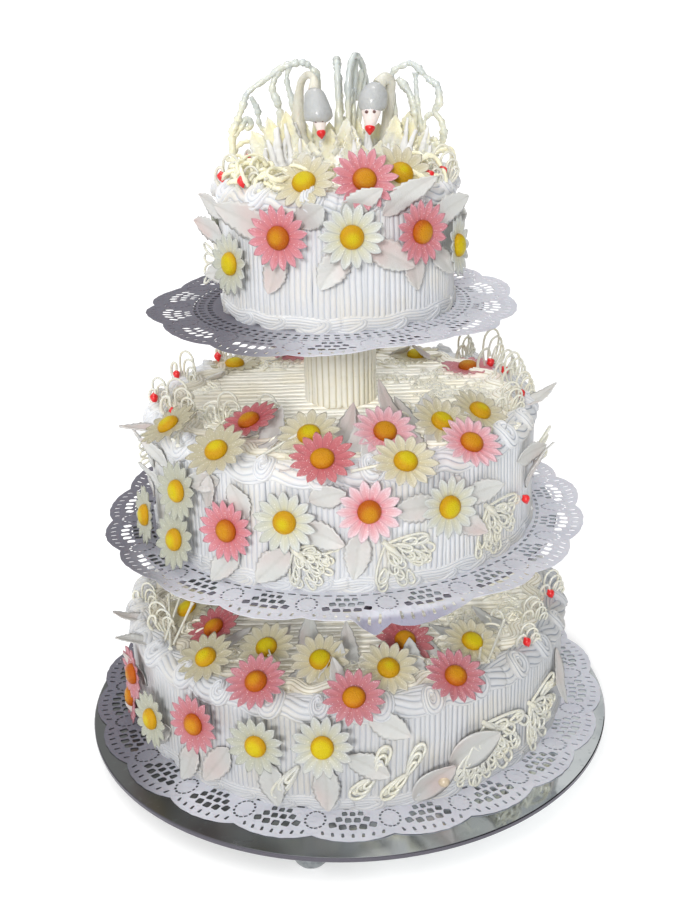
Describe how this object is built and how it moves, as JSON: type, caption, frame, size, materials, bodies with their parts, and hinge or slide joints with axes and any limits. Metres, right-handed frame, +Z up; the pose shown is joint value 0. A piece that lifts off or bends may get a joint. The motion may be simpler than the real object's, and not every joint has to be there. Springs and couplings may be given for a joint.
{
  "type": "tiered wedding cake on a mirror stand",
  "caption": "Tiered cream-piped wedding cake on a footed mirror tray, with sugar daisies, leaves, lace and swans with lace wings on top.",
  "frame": {"origin": "middle of the object's bounding box on the surface that the tray's feet stand on", "axes": "+Z up, front of the cake towards -Y, +X to the right seen from the front"},
  "size_m": [0.5, 0.52, 0.6274],
  "materials": {
    "mirror": "polished",
    "column_cream": "piped whipped cream",
    "cake_cream": "piped whipped cream",
    "doily_paper": "embossed paper lace",
    "petals_white": "glittering sugar",
    "petals_pale": "glittering sugar",
    "petals_pink": "glittering sugar",
    "petals_rose": "glittering sugar",
    "swan_sugar": "satin sugar",
    "lace_sugar": "clear glossy sugar"
  },
  "bodies": {
    "root": {"cake_bottom": "cake_cream", "cake_middle": "cake_cream", "cake_top": "cake_cream", "column_middle": "column_cream", "column_top": "column_cream", "daisy_bottom_10_pink": "petals_pink", "daisy_bottom_11_pink": "petals_pink", "daisy_bottom_12_pink": "petals_pink", "daisy_bottom_13_pink": "petals_pink", "daisy_bottom_14_white": "petals_white", "daisy_bottom_15_pink": "petals_pink", "daisy_bottom_16_white": "petals_white", "daisy_bottom_17_white": "petals_white", "daisy_bottom_1_white": "petals_white", "daisy_bottom_2_rose": "petals_rose", "daisy_bottom_3_white": "petals_white", "daisy_bottom_4_white": "petals_white", "daisy_bottom_5_white": "petals_white", "daisy_bottom_6_rose": "petals_rose", "daisy_bottom_7_white": "petals_white", "daisy_bottom_8_pink": "petals_pink", "daisy_bottom_9_white": "petals_white", "daisy_middle_10_white": "petals_white", "daisy_middle_11_white": "petals_white", "daisy_middle_12_white": "petals_white", "daisy_middle_13_white": "petals_white", "daisy_middle_14_pink": "petals_pink", "daisy_middle_15_white": "petals_white", "daisy_middle_16_pale": "petals_pale", "daisy_middle_17_white": "petals_white", "daisy_middle_1_white": "petals_white", "daisy_middle_2_rose": "petals_rose", "daisy_middle_3_white": "petals_white", "daisy_middle_4_white": "petals_white", "daisy_middle_5_rose": "petals_rose", "daisy_middle_6_pink": "petals_pink", "daisy_middle_7_white": "petals_white", "daisy_middle_8_white": "petals_white", "daisy_middle_9_pink": "petals_pink", "daisy_top_1_white": "petals_white", "daisy_top_2_pink": "petals_pink", "daisy_top_3_white": "petals_white", "daisy_top_4_pink": "petals_pink", "daisy_top_5_white": "petals_white", "daisy_top_6_pink": "petals_pink", "daisy_top_7_white": "petals_white", "daisy_top_8_white": "petals_white", "doily_bottom": "doily_paper", "doily_middle": "doily_paper", "doily_top": "doily_paper", "plate_middle": "mirror", "plate_top": "mirror", "swan_left": "swan_sugar", "swan_right": "swan_sugar", "tray": "mirror", "wing_left_inner": "lace_sugar", "wing_left_outer": "lace_sugar", "wing_right_inner": "lace_sugar", "wing_right_outer": "lace_sugar"}
  },
  "joints": []
}
